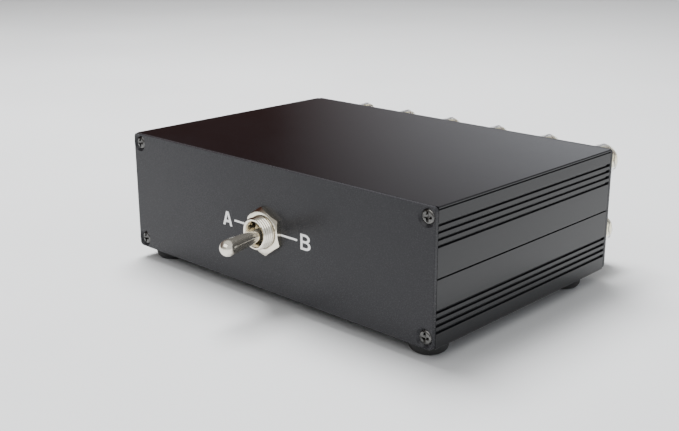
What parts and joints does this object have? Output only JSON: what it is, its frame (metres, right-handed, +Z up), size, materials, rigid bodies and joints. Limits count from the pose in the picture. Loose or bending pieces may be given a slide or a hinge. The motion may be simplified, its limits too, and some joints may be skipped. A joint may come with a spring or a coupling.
{
  "type": "speaker selector switch",
  "caption": "Low black extruded aluminium box with a metal toggle switch on the front and rows of binding posts on the rear, switching loudspeaker leads between two amplifiers.",
  "frame": {"origin": "middle of the floor area under the part's bounding box, at the soles of the feet", "axes": "+X to the right seen from the front, +Y from the front panel to the rear, +Z up"},
  "size_m": [0.155, 0.151, 0.0525],
  "materials": {
    "shell_aluminium": "satin black anodised extrusion",
    "panel_aluminium": "satin black coated sheet",
    "foot_rubber": "matt black rubber",
    "nickel": "bright nickel plating",
    "steel": "zinc plated steel",
    "case_resin": "brown phenolic moulding",
    "yoke_resin": "natural nylon",
    "contact_metal": "silver plated brass",
    "plated_brass": "nickel and gold plated brass",
    "red_plastic": "red insulator",
    "black_plastic": "black insulator",
    "clear_plastic": "clear acrylic",
    "red_insulation": "red PVC insulation",
    "black_insulation": "black PVC insulation"
  },
  "bodies": {
    "enclosure": {"upper_shell": "shell_aluminium", "lower_shell": "shell_aluminium", "front_panel": "panel_aluminium", "rear_panel": "panel_aluminium", "panel_screws": "steel", "rubber_feet": "foot_rubber", "switch_bushing": "nickel", "lever_pivot_pin": "steel", "mounting_nut": "nickel", "backing_nut": "nickel", "switch_frame": "steel", "switch_case": "case_resin", "a_side_terminals": "contact_metal", "common_terminals": "contact_metal", "b_side_terminals": "contact_metal", "post_stems": "plated_brass", "red_post_rings": "red_plastic", "black_post_rings": "black_plastic", "solder_tags": "contact_metal", "red_wires": "red_insulation", "black_wires": "black_insulation"},
    "lever": {"toggle_lever": "nickel", "plunger_yoke": "yoke_resin", "plunger_springs": "steel"},
    "plungers": {"contact_plungers": "contact_metal"},
    "rockers": {"contact_rockers": "contact_metal"},
    "core_01": {"cap_core_01": "plated_brass"},
    "cap_01": {"post_cap_01": "clear_plastic"},
    "core_02": {"cap_core_02": "plated_brass"},
    "cap_02": {"post_cap_02": "clear_plastic"},
    "core_03": {"cap_core_03": "plated_brass"},
    "cap_03": {"post_cap_03": "clear_plastic"},
    "core_04": {"cap_core_04": "plated_brass"},
    "cap_04": {"post_cap_04": "clear_plastic"},
    "core_05": {"cap_core_05": "plated_brass"},
    "cap_05": {"post_cap_05": "clear_plastic"},
    "core_06": {"cap_core_06": "plated_brass"},
    "cap_06": {"post_cap_06": "clear_plastic"},
    "core_07": {"cap_core_07": "plated_brass"},
    "cap_07": {"post_cap_07": "clear_plastic"},
    "core_08": {"cap_core_08": "plated_brass"},
    "cap_08": {"post_cap_08": "clear_plastic"},
    "core_09": {"cap_core_09": "plated_brass"},
    "cap_09": {"post_cap_09": "clear_plastic"},
    "core_10": {"cap_core_10": "plated_brass"},
    "cap_10": {"post_cap_10": "clear_plastic"},
    "core_11": {"cap_core_11": "plated_brass"},
    "cap_11": {"post_cap_11": "clear_plastic"},
    "core_12": {"cap_core_12": "plated_brass"},
    "cap_12": {"post_cap_12": "clear_plastic"}
  },
  "joints": [
    {"name": "lever_throw", "type": "hinge", "parent": "enclosure", "child": "lever", "pos_m": [0.0003, -0.04748, 0.02815], "axis": [0, 0, 1], "range_deg": [-22, 0]},
    {"name": "plunger_travel", "type": "slide", "parent": "lever", "child": "plungers", "axis": [-0.1908, 0.9816, 0], "range_m": [-0.0009, 0], "stiffness_N_per_m": 500, "springref_m": 0.002, "deforming": ["plunger_springs"]},
    {"name": "rocker_tilt", "type": "hinge", "parent": "enclosure", "child": "rockers", "pos_m": [0.0003, -0.0325, 0.02815], "axis": [0, 0, 1], "range_deg": [0, 18.01]},
    {"name": "core_travel_01", "type": "slide", "parent": "enclosure", "child": "core_01", "axis": [0, 1, 0], "range_m": [0, 0.00525]},
    {"name": "cap_turn_01", "type": "hinge", "parent": "core_01", "child": "cap_01", "pos_m": [-0.0635, 0.06752, 0.043], "axis": [0, 1, 0], "range_deg": [0, 1890.1]},
    {"name": "core_travel_02", "type": "slide", "parent": "enclosure", "child": "core_02", "axis": [0, 1, 0], "range_m": [0, 0.00525]},
    {"name": "cap_turn_02", "type": "hinge", "parent": "core_02", "child": "cap_02", "pos_m": [-0.0381, 0.06752, 0.043], "axis": [0, 1, 0], "range_deg": [0, 1890.1]},
    {"name": "core_travel_03", "type": "slide", "parent": "enclosure", "child": "core_03", "axis": [0, 1, 0], "range_m": [0, 0.00525]},
    {"name": "cap_turn_03", "type": "hinge", "parent": "core_03", "child": "cap_03", "pos_m": [-0.0127, 0.06752, 0.043], "axis": [0, 1, 0], "range_deg": [0, 1890.1]},
    {"name": "core_travel_04", "type": "slide", "parent": "enclosure", "child": "core_04", "axis": [0, 1, 0], "range_m": [0, 0.00525]},
    {"name": "cap_turn_04", "type": "hinge", "parent": "core_04", "child": "cap_04", "pos_m": [0.0127, 0.06752, 0.043], "axis": [0, 1, 0], "range_deg": [0, 1890.1]},
    {"name": "core_travel_05", "type": "slide", "parent": "enclosure", "child": "core_05", "axis": [0, 1, 0], "range_m": [0, 0.00525]},
    {"name": "cap_turn_05", "type": "hinge", "parent": "core_05", "child": "cap_05", "pos_m": [0.0381, 0.06752, 0.043], "axis": [0, 1, 0], "range_deg": [0, 1890.1]},
    {"name": "core_travel_06", "type": "slide", "parent": "enclosure", "child": "core_06", "axis": [0, 1, 0], "range_m": [0, 0.00525]},
    {"name": "cap_turn_06", "type": "hinge", "parent": "core_06", "child": "cap_06", "pos_m": [0.0635, 0.06752, 0.043], "axis": [0, 1, 0], "range_deg": [0, 1890.1]},
    {"name": "core_travel_07", "type": "slide", "parent": "enclosure", "child": "core_07", "axis": [0, 1, 0], "range_m": [0, 0.00525]},
    {"name": "cap_turn_07", "type": "hinge", "parent": "core_07", "child": "cap_07", "pos_m": [-0.0635, 0.06752, 0.0145], "axis": [0, 1, 0], "range_deg": [0, 1890.1]},
    {"name": "core_travel_08", "type": "slide", "parent": "enclosure", "child": "core_08", "axis": [0, 1, 0], "range_m": [0, 0.00525]},
    {"name": "cap_turn_08", "type": "hinge", "parent": "core_08", "child": "cap_08", "pos_m": [-0.0381, 0.06752, 0.0145], "axis": [0, 1, 0], "range_deg": [0, 1890.1]},
    {"name": "core_travel_09", "type": "slide", "parent": "enclosure", "child": "core_09", "axis": [0, 1, 0], "range_m": [0, 0.00525]},
    {"name": "cap_turn_09", "type": "hinge", "parent": "core_09", "child": "cap_09", "pos_m": [-0.0127, 0.06752, 0.0145], "axis": [0, 1, 0], "range_deg": [0, 1890.1]},
    {"name": "core_travel_10", "type": "slide", "parent": "enclosure", "child": "core_10", "axis": [0, 1, 0], "range_m": [0, 0.00525]},
    {"name": "cap_turn_10", "type": "hinge", "parent": "core_10", "child": "cap_10", "pos_m": [0.0127, 0.06752, 0.0145], "axis": [0, 1, 0], "range_deg": [0, 1890.1]},
    {"name": "core_travel_11", "type": "slide", "parent": "enclosure", "child": "core_11", "axis": [0, 1, 0], "range_m": [0, 0.00525]},
    {"name": "cap_turn_11", "type": "hinge", "parent": "core_11", "child": "cap_11", "pos_m": [0.0381, 0.06752, 0.0145], "axis": [0, 1, 0], "range_deg": [0, 1890.1]},
    {"name": "core_travel_12", "type": "slide", "parent": "enclosure", "child": "core_12", "axis": [0, 1, 0], "range_m": [0, 0.00525]},
    {"name": "cap_turn_12", "type": "hinge", "parent": "core_12", "child": "cap_12", "pos_m": [0.0635, 0.06752, 0.0145], "axis": [0, 1, 0], "range_deg": [0, 1890.1]}
  ],
  "couplings": [
    {"joint": "rocker_tilt", "follows": "lever_throw", "ratio": -0.81818},
    {"joint": "cap_turn_01", "follows": "core_travel_01", "rad_per_m": 6283.2},
    {"joint": "cap_turn_02", "follows": "core_travel_02", "rad_per_m": 6283.2},
    {"joint": "cap_turn_03", "follows": "core_travel_03", "rad_per_m": 6283.2},
    {"joint": "cap_turn_04", "follows": "core_travel_04", "rad_per_m": 6283.2},
    {"joint": "cap_turn_05", "follows": "core_travel_05", "rad_per_m": 6283.2},
    {"joint": "cap_turn_06", "follows": "core_travel_06", "rad_per_m": 6283.2},
    {"joint": "cap_turn_07", "follows": "core_travel_07", "rad_per_m": 6283.2},
    {"joint": "cap_turn_08", "follows": "core_travel_08", "rad_per_m": 6283.2},
    {"joint": "cap_turn_09", "follows": "core_travel_09", "rad_per_m": 6283.2},
    {"joint": "cap_turn_10", "follows": "core_travel_10", "rad_per_m": 6283.2},
    {"joint": "cap_turn_11", "follows": "core_travel_11", "rad_per_m": 6283.2},
    {"joint": "cap_turn_12", "follows": "core_travel_12", "rad_per_m": 6283.2}
  ]
}
